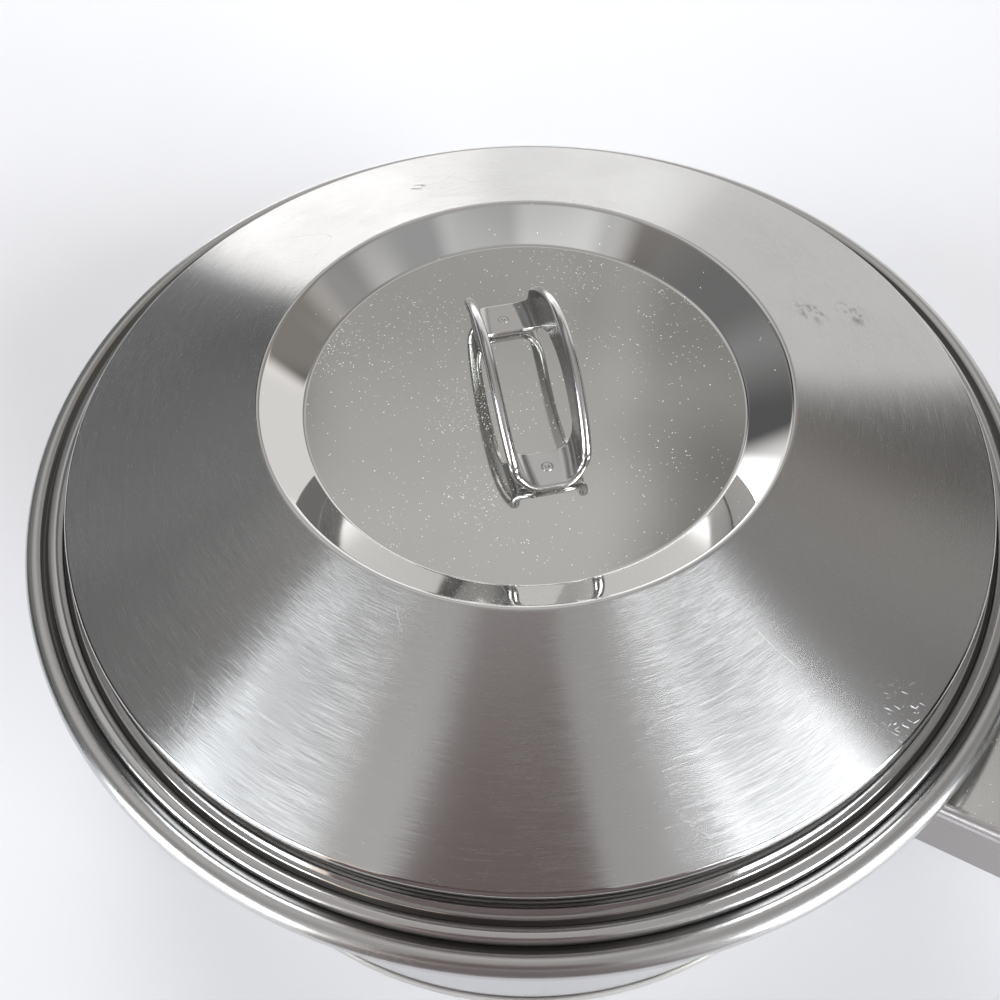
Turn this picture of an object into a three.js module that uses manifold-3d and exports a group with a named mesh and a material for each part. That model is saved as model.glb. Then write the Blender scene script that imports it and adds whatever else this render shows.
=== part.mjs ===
// A long-handled stainless steel cooking pot with a sandwich base and a loose domed lid.
// Millimetres, +Z up. The origin is the centre of the base, on the surface that the pot stands on,
// and the long handle points along +X.

import * as THREE from 'three';
import { mergeVertices } from 'three/addons/utils/BufferGeometryUtils.js';
import Module from 'manifold-3d';

const wasm = await Module();
wasm.setup();

// Fits shared by all pieces
const SEAT_GAP = 0.3;
const ROUND_SEGMENTS = 48;

// Pot body: one drawn sheet with a flared pouring rim that ends in a roll
const POT_INNER_RADIUS = 118.8;
const POT_HEIGHT = 108.3;
const POT_SHEET = 1;
const POT_CORNER_RADIUS = 5;
const FLARE_ANGLE = 40;
const FLARE_LENGTH = 7.8;
const FLARE_BEND_RADIUS = 3;
const RIM_ROLL_RADIUS = 2.6;
const RIM_CURL_ANGLE = 260;

// Sandwich base: an aluminium disc closed in by a pressed steel cap
const CORE_THICKNESS = 4.6;
const CAP_SHEET = 0.8;
const CAP_EDGE_RADIUS = 1.8;
const CAP_OVERLAP = 3.5;

// Lid: a sunk disc, a brushed cone, a step and a locating channel with a rolled flange
const LID_SHEET = 0.8;
const DISC_RADIUS = 54.8;
const DISC_BEND_RADIUS = 1.5;
const CREST_RADIUS = 64.3;
const CREST_BEND_RADIUS = 1.6;
const DISH_DEPTH = 7.9;
const CONE_RISE = 18.6;
const CONE_EDGE_BEND_RADIUS = 1.4;
const STEP_HEIGHT = 10.3;
const STEP_FLARE = 1.5;
const CHANNEL_INSET = 4.2;
const CHANNEL_WIDTH = 1.2;
const CHANNEL_DEPTH = 3.2;
const CHANNEL_BEND_RADIUS = 0.5;
const FLANGE_REACH = 4.2;
const FLANGE_WIDTH = 2.4;
const FLANGE_TAPER = 0.3;
const FLANGE_DROP = 1.8;
const FLANGE_BEND_RADIUS = 1.1;

// Lid handle: a pressed frame with two flat feet and two bowed side bars
const GRIP_TURN = 140.4;
const GRIP_LENGTH = 59.6;
const GRIP_WIDTH = 16.4;
const GRIP_SHEET = 1.6;
const GRIP_WINDOW_LENGTH = 40.8;
const GRIP_CORNER_RADIUS = 5;
const GRIP_ARCH_HEIGHT = 11.5;
const GRIP_CREST_HEIGHT = 20.5;
const GRIP_HORN_HEIGHT = 7;
const GRIP_HORN_INSET = 1.6;
const GRIP_FOOT_INSET = 4;
const GRIP_LEAN = 5.5;
const GRIP_ROLL_RADIUS = 1.3;
const STUD_SPACING = 49.2;
const STUD_RADIUS = 1.5;
const STUD_PROUD = 0.2;

// Long handle: a pressed channel with a sunk top, closed below by a plate and held by a bracket
const HANDLE_RISE = 14;
const HANDLE_ROOT_DROP = 13.2;
const HANDLE_LENGTH = 191.2;
const HANDLE_ROOT_WIDTH = 40.2;
const HANDLE_GRIP_WIDTH = 24;
const HANDLE_TAPER_LENGTH = 98.2;
const HANDLE_DEPTH = 17.5;
const HANDLE_SHEET = 1.5;
const HANDLE_EDGE_RADIUS = 1.5;
const HANDLE_LIP_WIDTH = 2.6;
const HANDLE_RECESS = 0.8;
const UNDERPLATE_SHEET = 1.2;
const UNDERPLATE_INSET = 0.5;
const BRACKET_SHEET = 1.5;
const BRACKET_TONGUE = 45;
const SLOT_LENGTH = 24;
const SLOT_WIDTH = 10;
const SLOT_END_MARGIN = 8;

// Heights and radii that follow from the sizes above
const rad = THREE.MathUtils.degToRad;
const coreBottom = CAP_SHEET + SEAT_GAP;
const coreTop = coreBottom + CORE_THICKNESS;
const potUnderside = coreTop + SEAT_GAP;
const potFloor = potUnderside + POT_SHEET;
const potOuterRadius = POT_INNER_RADIUS + POT_SHEET;
const flare = new THREE.Vector2(Math.cos(rad(FLARE_ANGLE)), Math.sin(rad(FLARE_ANGLE)));
const flareFoot = POT_HEIGHT - RIM_ROLL_RADIUS * (1 - flare.x) - FLARE_LENGTH * flare.y;

const capTop = potUnderside + CAP_OVERLAP;
const potCornerOuter = POT_CORNER_RADIUS + POT_SHEET;
const potCornerHalfWidth = Math.sqrt(potCornerOuter ** 2 - (potCornerOuter - CAP_OVERLAP) ** 2);
const capInnerRadius = POT_INNER_RADIUS - POT_CORNER_RADIUS + potCornerHalfWidth + SEAT_GAP;

const flangeRadius = POT_INNER_RADIUS + FLANGE_REACH;
const flangeEdge = flareFoot + (FLANGE_REACH * flare.y + SEAT_GAP) / flare.x;
const flangeTop = flangeEdge + FLANGE_DROP;
const channelRadius = flangeRadius - CHANNEL_INSET;
const channelBottom = flangeTop - CHANNEL_DEPTH;
const coneEdgeRadius = channelRadius - CHANNEL_WIDTH - STEP_FLARE;
const coneEdge = channelBottom + STEP_HEIGHT;
const lidCrest = coneEdge + CONE_RISE;
const lidDisc = lidCrest - DISH_DEPTH;

const handleRoot = POT_HEIGHT - HANDLE_ROOT_DROP;

// Geometry helpers

// Drops normals and texture coordinates, joins shared vertices and leaves out empty triangles.
function watertight(geometry) {
  const bare = geometry.clone();
  bare.deleteAttribute('normal');
  bare.deleteAttribute('uv');
  const merged = mergeVertices(bare);
  const corners = merged.index.array;
  const kept = [];
  for (let i = 0; i < corners.length; i += 3) {
    const [a, b, c] = corners.slice(i, i + 3);
    if (a !== b && b !== c && c !== a) {
      kept.push(a, b, c);
    }
  }
  merged.setIndex(kept);
  return merged;
}

function toSolid(geometry) {
  const closed = watertight(geometry);
  const vertProperties = closed.attributes.position.array;
  const triVerts = new Uint32Array(closed.index.array);
  return new wasm.Manifold(new wasm.Mesh({ numProp: 3, vertProperties, triVerts }));
}

function toGeometry(solid) {
  const mesh = solid.getMesh();
  const geometry = new THREE.BufferGeometry();
  geometry.setAttribute('position', new THREE.BufferAttribute(mesh.vertProperties, 3));
  geometry.setIndex(new THREE.BufferAttribute(mesh.triVerts, 1));
  return geometry;
}

// Points on an arc about a centre, from one angle to another in degrees.
function arcPoints(centre, radius, from, to, steps) {
  const points = [];
  for (let i = 0; i <= steps; i += 1) {
    const angle = rad(THREE.MathUtils.lerp(from, to, i / steps));
    points.push(new THREE.Vector2(Math.cos(angle), Math.sin(angle)).multiplyScalar(radius).add(centre));
  }
  return points;
}

// A path through corners [r, z, bend radius], with an arc in place of each inner corner.
function roundedPath(corners, steps) {
  const points = corners.map(([r, z]) => new THREE.Vector2(r, z));
  const path = [points[0]];
  for (let i = 1; i < points.length - 1; i += 1) {
    const bend = corners[i][2];
    const back = points[i - 1].clone().sub(points[i]).normalize();
    const ahead = points[i + 1].clone().sub(points[i]).normalize();
    const half = Math.acos(back.dot(ahead)) / 2;
    const toCentre = back.clone().add(ahead).setLength(bend / Math.sin(half));
    const centre = points[i].clone().add(toCentre);
    const start = back.clone().multiplyScalar(bend / Math.tan(half)).add(points[i]);
    const from = THREE.MathUtils.radToDeg(start.sub(centre).angle());
    const turn = (180 - THREE.MathUtils.radToDeg(2 * half)) * Math.sign(ahead.cross(back));
    path.push(...arcPoints(centre, bend, from, from + turn, steps));
  }
  path.push(points[points.length - 1]);
  return path;
}

// The closed outline of a bent sheet: the path, and the same path moved to its right by the thickness.
function sheetOutline(path, thickness) {
  const rightOf = (a, b) => new THREE.Vector2(b.y - a.y, a.x - b.x).normalize();
  const last = path.length - 1;
  const moved = path.map((point, i) => {
    const before = rightOf(path[Math.max(i - 1, 0)], path[Math.max(i, 1)]);
    const after = rightOf(path[Math.min(i, last - 1)], path[Math.min(i + 1, last)]);
    const mitre = before.clone().add(after).multiplyScalar(thickness / (1 + before.dot(after)));
    return point.clone().add(mitre);
  });
  return [...moved, ...path.slice().reverse()];
}

// A solid of revolution about Z from an outline of (radius, height) points with its inside on the left.
function turned(outline) {
  const lathe = new THREE.LatheGeometry(outline, ROUND_SEGMENTS);
  lathe.rotateX(Math.PI / 2);
  return watertight(lathe);
}

function turnedBlock(innerRadius, outerRadius, bottom, top) {
  const corners = [[innerRadius, bottom], [outerRadius, bottom], [outerRadius, top], [innerRadius, top]];
  const outline = corners.map(([r, z]) => new THREE.Vector2(r, z));
  if (innerRadius > 0) {
    outline.push(outline[0].clone());
  }
  return turned(outline);
}

// A flat outline in X and Y given a thickness in Z.
function plate(outline, bottom, top, edgeRadius = 0) {
  const slab = new THREE.ExtrudeGeometry(outline, {
    depth: top - bottom - 2 * edgeRadius,
    bevelEnabled: edgeRadius > 0,
    bevelThickness: edgeRadius,
    bevelSize: edgeRadius,
    bevelOffset: -edgeRadius,
    bevelSegments: 3,
    curveSegments: 8,
  });
  slab.translate(0, 0, bottom + edgeRadius);
  return slab;
}

function block(low, high) {
  const size = high.map((value, i) => value - low[i]);
  const centre = high.map((value, i) => (value + low[i]) / 2);
  return new THREE.BoxGeometry(...size).translate(...centre);
}

function pin(radius, x, bottom, top) {
  const round = new THREE.CylinderGeometry(radius, radius, top - bottom, 16);
  round.rotateX(Math.PI / 2);
  round.translate(x, 0, (top + bottom) / 2);
  return round;
}

function piece(name, geometry, colour, roughness) {
  const material = new THREE.MeshStandardMaterial({ color: colour, roughness, metalness: 1 });
  const shown = geometry.clone();
  shown.computeVertexNormals();
  const mesh = new THREE.Mesh(shown, material);
  mesh.name = name;
  return mesh;
}

// Pot and base

function potBody() {
  const rollStart = flare.clone().multiplyScalar(FLARE_LENGTH).add(new THREE.Vector2(POT_INNER_RADIUS, flareFoot));
  const rollCentre = new THREE.Vector2(flare.y, -flare.x).multiplyScalar(RIM_ROLL_RADIUS).add(rollStart);
  const wall = roundedPath([
    [0, potFloor],
    [POT_INNER_RADIUS, potFloor, POT_CORNER_RADIUS],
    [POT_INNER_RADIUS, flareFoot, FLARE_BEND_RADIUS],
    [rollStart.x, rollStart.y],
  ], 3);
  const rollFrom = 90 + FLARE_ANGLE;
  const roll = arcPoints(rollCentre, RIM_ROLL_RADIUS, rollFrom, rollFrom - RIM_CURL_ANGLE, 9);
  return turned(sheetOutline([...wall.slice(0, -1), ...roll], POT_SHEET));
}

function baseCap() {
  const inside = roundedPath([
    [0, CAP_SHEET],
    [capInnerRadius, CAP_SHEET, CAP_EDGE_RADIUS - CAP_SHEET],
    [capInnerRadius, capTop],
  ], 3);
  return turned(sheetOutline(inside, CAP_SHEET));
}

function baseCore() {
  const radius = capInnerRadius - SEAT_GAP;
  const outside = roundedPath([
    [0, coreBottom],
    [radius, coreBottom, CAP_EDGE_RADIUS - CAP_SHEET],
    [radius, coreTop],
  ], 3);
  return turned([...outside, new THREE.Vector2(0, coreTop)]);
}

// Lid

function lidShell() {
  const flangeInner = flangeRadius - FLANGE_WIDTH;
  const top = roundedPath([
    [0, lidDisc],
    [DISC_RADIUS, lidDisc, DISC_BEND_RADIUS],
    [CREST_RADIUS, lidCrest, CREST_BEND_RADIUS],
    [coneEdgeRadius, coneEdge, CONE_EDGE_BEND_RADIUS],
    [channelRadius - CHANNEL_WIDTH, channelBottom, CHANNEL_BEND_RADIUS],
    [channelRadius, channelBottom, CHANNEL_BEND_RADIUS],
    [flangeInner, flangeTop, FLANGE_BEND_RADIUS],
    [flangeRadius - FLANGE_TAPER, flangeTop, FLANGE_BEND_RADIUS],
    [flangeRadius, flangeEdge],
  ], 2);
  return turned(sheetOutline(top, LID_SHEET));
}

// One flat foot of the lid handle, at the end that the sign gives.
function gripFoot(end) {
  const half = GRIP_WIDTH / 2;
  const tip = GRIP_LENGTH / 2;
  const outline = new THREE.Shape();
  outline.moveTo(GRIP_WINDOW_LENGTH / 2, -half);
  outline.absarc(tip - GRIP_CORNER_RADIUS, GRIP_CORNER_RADIUS - half, GRIP_CORNER_RADIUS, -Math.PI / 2, 0);
  outline.absarc(tip - GRIP_CORNER_RADIUS, half - GRIP_CORNER_RADIUS, GRIP_CORNER_RADIUS, 0, Math.PI / 2);
  outline.lineTo(GRIP_WINDOW_LENGTH / 2, half);
  const foot = plate(outline, 0, GRIP_SHEET);
  return end > 0 ? foot : foot.rotateZ(Math.PI);
}

// One bowed side bar: a crescent web with a finger gap below it and a roll along its top edge.
function gripBar(side) {
  const hornX = GRIP_LENGTH / 2 - GRIP_HORN_INSET;
  const footX = GRIP_LENGTH / 2 - GRIP_FOOT_INSET;
  const windowX = GRIP_WINDOW_LENGTH / 2;
  const bowPull = 2 * GRIP_CREST_HEIGHT - GRIP_HORN_HEIGHT;
  const web = new THREE.Shape();
  web.moveTo(-footX, 0);
  web.lineTo(-windowX, 0);
  web.quadraticCurveTo(0, 2 * GRIP_ARCH_HEIGHT, windowX, 0);
  web.lineTo(footX, 0);
  web.quadraticCurveTo(footX, GRIP_HORN_HEIGHT / 2, hornX, GRIP_HORN_HEIGHT);
  web.quadraticCurveTo(0, bowPull, -hornX, GRIP_HORN_HEIGHT);
  web.quadraticCurveTo(-footX, GRIP_HORN_HEIGHT / 2, -footX, 0);
  const sheet = plate(web, -GRIP_SHEET / 2, GRIP_SHEET / 2);

  const bow = new THREE.QuadraticBezierCurve3(
    new THREE.Vector3(-hornX, GRIP_HORN_HEIGHT, 0),
    new THREE.Vector3(0, bowPull, 0),
    new THREE.Vector3(hornX, GRIP_HORN_HEIGHT, 0),
  );
  const section = new THREE.Shape(arcPoints(new THREE.Vector2(), GRIP_ROLL_RADIUS, 0, 315, 7));
  const roll = new THREE.ExtrudeGeometry(section, { extrudePath: bow, steps: 16, bevelEnabled: false });

  const upright = new THREE.Matrix4().makeRotationX(Math.PI / 2 - side * rad(GRIP_LEAN));
  upright.setPosition(0, side * (GRIP_WIDTH / 2 - GRIP_SHEET / 2), 0);
  return [sheet.applyMatrix4(upright), roll.applyMatrix4(upright)];
}

function lidHandle() {
  const shapes = [gripFoot(1), gripFoot(-1), ...gripBar(1), ...gripBar(-1)];
  const frame = shapes.map(toSolid).reduce((whole, part) => whole.add(part));
  const below = toSolid(block([-GRIP_LENGTH, -GRIP_WIDTH, -GRIP_SHEET], [GRIP_LENGTH, GRIP_WIDTH, 0]));
  const holes = [-1, 1].map((end) => {
    return toSolid(pin(STUD_RADIUS + SEAT_GAP, end * STUD_SPACING / 2, -GRIP_SHEET, 2 * GRIP_SHEET));
  });
  return toGeometry(holes.reduce((whole, hole) => whole.subtract(hole), frame.subtract(below)));
}

function lidHandleStud(end) {
  return watertight(pin(STUD_RADIUS, end * STUD_SPACING / 2, 0, GRIP_SHEET + STUD_PROUD));
}

// Long handle, in its own frame: X runs along it from the pot wall, Z = 0 is the top of its lips

const handleGroup = new THREE.Group();
handleGroup.position.set(potOuterRadius, 0, handleRoot);
handleGroup.rotation.y = -rad(HANDLE_RISE);
handleGroup.updateMatrix();
const toHandleFrame = handleGroup.matrix.clone().invert();

const webUnderside = -HANDLE_RECESS - HANDLE_SHEET;
const underplateBottom = UNDERPLATE_INSET - HANDLE_DEPTH;
const underplateTop = underplateBottom + UNDERPLATE_SHEET;

// The handle's outline seen from above, moved inwards by the inset and carried past the pot wall.
function handleOutline(inset) {
  const rootReach = HANDLE_DEPTH;
  const slope = (HANDLE_ROOT_WIDTH - HANDLE_GRIP_WIDTH) / 2 / HANDLE_TAPER_LENGTH;
  const rootHalf = HANDLE_ROOT_WIDTH / 2 + rootReach * slope - inset;
  const noseRadius = HANDLE_GRIP_WIDTH / 2 - inset;
  const noseX = HANDLE_LENGTH - HANDLE_GRIP_WIDTH / 2;
  const outline = new THREE.Shape();
  outline.moveTo(-rootReach, -rootHalf);
  outline.lineTo(HANDLE_TAPER_LENGTH, -noseRadius);
  outline.absarc(noseX, 0, noseRadius, -Math.PI / 2, Math.PI / 2);
  outline.lineTo(HANDLE_TAPER_LENGTH, noseRadius);
  outline.lineTo(-rootReach, rootHalf);
  return outline;
}

// The pot's wall, with its clearance, as a cutter in the handle's frame.
function wallCutter() {
  const wall = turnedBlock(0, potOuterRadius + SEAT_GAP, -POT_HEIGHT, 2 * POT_HEIGHT);
  return toSolid(wall.applyMatrix4(toHandleFrame));
}

function slotCutter() {
  const end = SLOT_WIDTH / 2;
  const outerX = HANDLE_LENGTH - SLOT_END_MARGIN - end;
  const innerX = outerX - SLOT_LENGTH + SLOT_WIDTH;
  const outline = new THREE.Shape();
  outline.absarc(outerX, 0, end, -Math.PI / 2, Math.PI / 2);
  outline.absarc(innerX, 0, end, Math.PI / 2, 3 * Math.PI / 2);
  return toSolid(plate(outline, -2 * HANDLE_DEPTH, HANDLE_DEPTH));
}

function handleShell() {
  const spare = 2 * HANDLE_EDGE_RADIUS;
  const deep = -HANDLE_DEPTH - 2 * spare;
  const outside = toSolid(plate(handleOutline(0), -HANDLE_DEPTH - spare, 0, HANDLE_EDGE_RADIUS));
  const hollow = toSolid(plate(handleOutline(HANDLE_SHEET), deep, webUnderside));
  const below = toSolid(plate(handleOutline(-spare), deep, -HANDLE_DEPTH));
  const recess = toSolid(plate(handleOutline(HANDLE_LIP_WIDTH), -HANDLE_RECESS, spare));
  const shell = outside.subtract(hollow).subtract(below).subtract(recess);
  return toGeometry(shell.subtract(wallCutter()).subtract(slotCutter()));
}

function handleUnderplate() {
  const flat = toSolid(plate(handleOutline(HANDLE_SHEET + SEAT_GAP), underplateBottom, underplateTop));
  return toGeometry(flat.subtract(wallCutter()).subtract(slotCutter()));
}

// A saddle on the pot wall and a tongue under the handle's top, bent from one strip.
function handleBracket() {
  const half = HANDLE_GRIP_WIDTH / 2 - HANDLE_SHEET - SEAT_GAP;
  const top = webUnderside - SEAT_GAP;
  const bottom = underplateTop + SEAT_GAP;
  const inner = potOuterRadius + SEAT_GAP;
  const ring = turnedBlock(inner, inner + BRACKET_SHEET, -POT_HEIGHT, 2 * POT_HEIGHT);
  const reach = block([-HANDLE_DEPTH, -half, bottom], [HANDLE_DEPTH, half, top]);
  const saddle = toSolid(ring.applyMatrix4(toHandleFrame)).intersect(toSolid(reach));
  const tongue = block([-HANDLE_DEPTH, -half, top - BRACKET_SHEET], [BRACKET_TONGUE, half, top]);
  return toGeometry(saddle.add(toSolid(tongue).subtract(wallCutter())));
}

// Assembly

const potGroup = new THREE.Group();
potGroup.add(piece('pot_body', potBody(), 0xb9b8b4, 0.28));
potGroup.add(piece('base_cap', baseCap(), 0xb4b0a8, 0.35));
potGroup.add(piece('base_core', baseCore(), 0xc8c9cc, 0.5));

handleGroup.add(piece('handle_shell', handleShell(), 0xb3b2ac, 0.16));
handleGroup.add(piece('handle_underplate', handleUnderplate(), 0xaaa9a4, 0.3));
handleGroup.add(piece('handle_bracket', handleBracket(), 0xa5a5a3, 0.4));
potGroup.add(handleGroup);

const gripGroup = new THREE.Group();
gripGroup.position.z = lidDisc + SEAT_GAP;
gripGroup.rotation.z = rad(GRIP_TURN);
gripGroup.add(piece('lid_handle', lidHandle(), 0xc4c3bf, 0.1));
gripGroup.add(piece('lid_handle_stud_1', lidHandleStud(1), 0x9d9c98, 0.3));
gripGroup.add(piece('lid_handle_stud_2', lidHandleStud(-1), 0x9d9c98, 0.3));

const lidGroup = new THREE.Group();
lidGroup.add(piece('lid_shell', lidShell(), 0xb7b6b1, 0.25));
lidGroup.add(gripGroup);

const cookingPot = new THREE.Group();
cookingPot.add(potGroup, lidGroup);

export default cookingPot;
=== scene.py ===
"""Looks of a long-handled stainless steel cooking pot with a loose domed lid.

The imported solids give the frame. Every piece that shows is a fine surface worked out with numpy from the
same sizes, in millimetres, and wears a steel finish whose grain, dust and wear come from shader nodes.
"""

import logging
from dataclasses import dataclass
from enum import Enum
from typing import Optional, Sequence, Union

import bmesh
import bpy
import numpy as np
from mathutils import Matrix


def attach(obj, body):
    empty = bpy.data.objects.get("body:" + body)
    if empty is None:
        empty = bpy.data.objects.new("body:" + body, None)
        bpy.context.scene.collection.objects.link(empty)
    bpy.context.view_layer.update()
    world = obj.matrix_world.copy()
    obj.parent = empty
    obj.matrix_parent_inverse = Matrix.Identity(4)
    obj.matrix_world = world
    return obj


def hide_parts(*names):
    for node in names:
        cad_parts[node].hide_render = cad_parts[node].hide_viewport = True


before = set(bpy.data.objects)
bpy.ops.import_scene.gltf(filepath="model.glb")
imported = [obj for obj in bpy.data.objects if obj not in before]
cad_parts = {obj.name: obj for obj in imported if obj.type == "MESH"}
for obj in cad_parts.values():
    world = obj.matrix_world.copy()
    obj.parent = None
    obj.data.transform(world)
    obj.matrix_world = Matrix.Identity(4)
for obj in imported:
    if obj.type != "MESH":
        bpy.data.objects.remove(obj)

Array = np.ndarray
Triple = tuple[float, float, float]
Socket = bpy.types.NodeSocket
Value = Union[float, Socket]
Inputs = dict[Union[int, str], object]

# Metres in a millimetre, faces round a turned piece, and steps in a metre to which corners are rounded before
# those in the same place are joined.
MM = 0.001
AROUND = 256
JOIN_STEPS = 1e7
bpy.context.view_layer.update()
log = logging.getLogger("cooking_pot")


class Body(Enum):
    """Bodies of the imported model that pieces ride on."""

    POT = "pot"
    LID = "lid"


class Grain(Enum):
    """Directions in which a finish can be brushed."""

    NONE = "none"
    ROUND = "round"
    LONG = "long"


class Wear(Enum):
    """Kinds of worn places on a finish."""

    DUST = "dust"
    STAIN = "stain"
    NICKS = "nicks"


WEAR_TONES: dict[Wear, Triple] = {
    Wear.STAIN: (0.02, 0.018, 0.016),
    Wear.NICKS: (0.88, 0.88, 0.90),
    Wear.DUST: (0.95, 0.95, 0.93),
}


def unit(vectors: Array) -> Array:
    """Vectors along the last axis, scaled to length one."""
    return vectors / np.linalg.norm(vectors, axis=-1, keepdims=True)


def square_to(axes: Array, vectors: Array) -> Array:
    """Unit vectors that are left when the part along each unit axis is taken off."""
    return unit(vectors - axes * (vectors * axes).sum(-1, keepdims=True))


def loop_direction(loop: Array) -> Array:
    """Unit direction of a closed loop at each point, from the point before it to the one after."""
    return unit(np.roll(loop, -1, axis=0) - np.roll(loop, 1, axis=0))


def running(steps: Array) -> Array:
    """Running total of steps, starting at zero."""
    return np.concatenate([[0], np.cumsum(steps)])


def travelled(line: Array) -> Array:
    """Length along a line from its first point to each of its points."""
    return running(np.linalg.norm(np.diff(line, axis=0), axis=1))


def ease(low: float, high: float, value: Array) -> Array:
    """Eases from 0 at low to 1 at high, as three q squared less two q cubed."""
    q = np.clip((value - low) / (high - low), 0.0, 1.0)
    return q * q * (3.0 - 2.0 * q)


def turn_z(degrees: float) -> Array:
    """Matrix of a turn about the vertical axis."""
    c, s = np.cos(np.radians(degrees)), np.sin(np.radians(degrees))
    return np.array([[c, -s, 0.0], [s, c, 0.0], [0.0, 0.0, 1.0]])


def tilt_up(degrees: float) -> Array:
    """Matrix that tips the X axis up towards Z."""
    c, s = np.cos(np.radians(degrees)), np.sin(np.radians(degrees))
    return np.array([[c, 0.0, -s], [0.0, 1.0, 0.0], [s, 0.0, c]])


def rounded_path(corners: Sequence[Triple], steps: int = 9) -> Array:
    """Path through corners, with an arc in place of each inner one.

    The arc's centre is on the corner's bisector, at bend / sin(half the corner's angle), and the arc turns
    by 180 degrees less that angle. Long straight runs get guard points near both ends, so that smooth
    shading stays flat between the bends.

    Args:
        corners: Rows of (radius, height, bend radius); the first and last bends aren't used.
        steps: Points on each arc.

    Returns:
        Points of the path as an (n, 2) array.
    """
    table = np.array(corners, dtype=float)
    at, bend = table[:, :2], table[1:-1, 2]
    back, ahead = unit(at[:-2] - at[1:-1]), unit(at[2:] - at[1:-1])
    half = np.arccos(np.clip((back * ahead).sum(1), -1.0, 1.0)) / 2.0
    centre = at[1:-1] + unit(back + ahead) * (bend / np.sin(half))[:, None]
    spoke = at[1:-1] + back * (bend / np.tan(half))[:, None] - centre
    sense = np.sign(ahead[:, 0] * back[:, 1] - ahead[:, 1] * back[:, 0])
    angle = np.linspace(0.0, 1.0, steps) * ((np.pi - 2.0 * half) * sense)[:, None]
    c, s = np.cos(angle), np.sin(angle)
    turned = [c * spoke[:, :1] - s * spoke[:, 1:], s * spoke[:, :1] + c * spoke[:, 1:]]
    arcs = np.stack(turned, axis=-1) + centre[:, None, :]
    return guarded(np.vstack([at[:1], arcs.reshape(-1, 2), at[-1:]]))


def guarded(path: Array, guard: float = 0.25) -> Array:
    """Path with extra points on runs longer than five guards: near both ends and spread between.

    Args:
        path: Points as an (n, 2) array.
        guard: Distance of the first and last extra point from the run's ends.

    Returns:
        Points of the finer path.
    """
    run = np.linalg.norm(np.diff(path, axis=0), axis=1)
    along = running(run)
    start, end = along[:-1][run > 5 * guard], along[1:][run > 5 * guard]
    share = np.linspace(0.0, 1.0, 7)[1:-1, None]
    spread = start + guard + (end - start - 2 * guard) * share
    places = np.sort(np.concatenate([along, start + guard, end - guard, spread.ravel()]))
    return np.column_stack([np.interp(places, along, path[:, k]) for k in (0, 1)])


def sheet_outline(path: Array, thickness: float, cap: int = 5) -> Array:
    """Closed outline of a bent sheet whose path starts on the axis.

    The path is moved to its right by the thickness, measured square to it with mitred corners, then a half
    round closes the free end and the path itself leads back.

    Args:
        path: Points as an (n, 2) array.
        thickness: Thickness of the sheet.
        cap: Points on the half round.

    Returns:
        Points of the outline.
    """
    step = unit(np.diff(path, axis=0))
    right = np.column_stack([step[:, 1], -step[:, 0]])
    before, after = np.vstack([right[:1], right]), np.vstack([right, right[-1:]])
    mitre = (before + after) * (thickness / (1.0 + (before * after).sum(1)))[:, None]
    angle = np.linspace(0.0, np.pi, cap + 2)[1:-1, None]
    middle = path[-1] + right[-1] * thickness / 2.0
    nose = middle + (right[-1] * np.cos(angle) + step[-1] * np.sin(angle)) * thickness / 2.0
    return np.vstack([path + mitre, nose, path[::-1]])


@dataclass
class Patch:
    """A grid of points that becomes part of a piece's skin.

    Attributes:
        points: Places in millimetres, as a (rows, columns, 3) array.
        uv: Texture places in metres, as a (rows, columns, 2) array.
        slots: Finish number of each row of faces.
        keep: Which faces are made, as a (rows - 1, columns - 1) array, or None for all.
    """

    points: Array
    uv: Array
    slots: Optional[Array] = None
    keep: Optional[Array] = None

    def faces(self) -> tuple[Array, Array]:
        """Corner numbers of the faces within this grid, and each face's finish number.

        Returns:
            An (n, 4) array of corners and an (n,) array of finish numbers.
        """
        rows, columns = self.points.shape[:2]
        index = np.arange(rows * columns).reshape(rows, columns)
        quads = np.stack([index[:-1, :-1], index[:-1, 1:], index[1:, 1:], index[1:, :-1]], axis=-1)
        slots = np.zeros(rows - 1, dtype=int) if self.slots is None else self.slots
        worn = np.broadcast_to(slots[:, None], quads.shape[:2])
        keep = np.ones(quads.shape[:2], dtype=bool) if self.keep is None else self.keep
        return quads[keep], worn[keep]


def grid(points: Array, slots: Optional[Array] = None, keep: Optional[Array] = None) -> Patch:
    """Patch whose texture places are the lengths travelled along its rows and columns.

    Args:
        points: Places in millimetres, as a (rows, columns, 3) array.
        slots: Finish number of each row of faces.
        keep: Which faces are made.

    Returns:
        The patch.
    """
    down = np.linalg.norm(np.diff(points, axis=0), axis=-1).max(axis=1)
    over = np.linalg.norm(np.diff(points, axis=1), axis=-1).max(axis=0)
    uv = np.stack(np.meshgrid(running(over) * MM, running(down) * MM), axis=-1)
    return Patch(points, uv, slots, keep)


def revolve(outline: Array, slots: Optional[Array] = None) -> Patch:
    """Surface of revolution: (r cos a, r sin a, z) for each outline point (r, z) and angle a.

    Texture U is the length along the outline, so that a finish's tangent runs across its round grain.

    Args:
        outline: Points as an (n, 2) array.
        slots: Finish number of each ring of faces.

    Returns:
        The patch.
    """
    angle = np.linspace(0.0, 2.0 * np.pi, AROUND + 1)
    r, z = outline[:, :1], outline[:, 1:]
    points = np.stack([r * np.cos(angle), r * np.sin(angle), z + 0.0 * angle], axis=-1)
    along = travelled(outline)[:, None] * MM
    uv = np.stack(np.broadcast_arrays(along, angle / (2.0 * np.pi)), axis=-1)
    return Patch(points, uv, slots)


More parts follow.
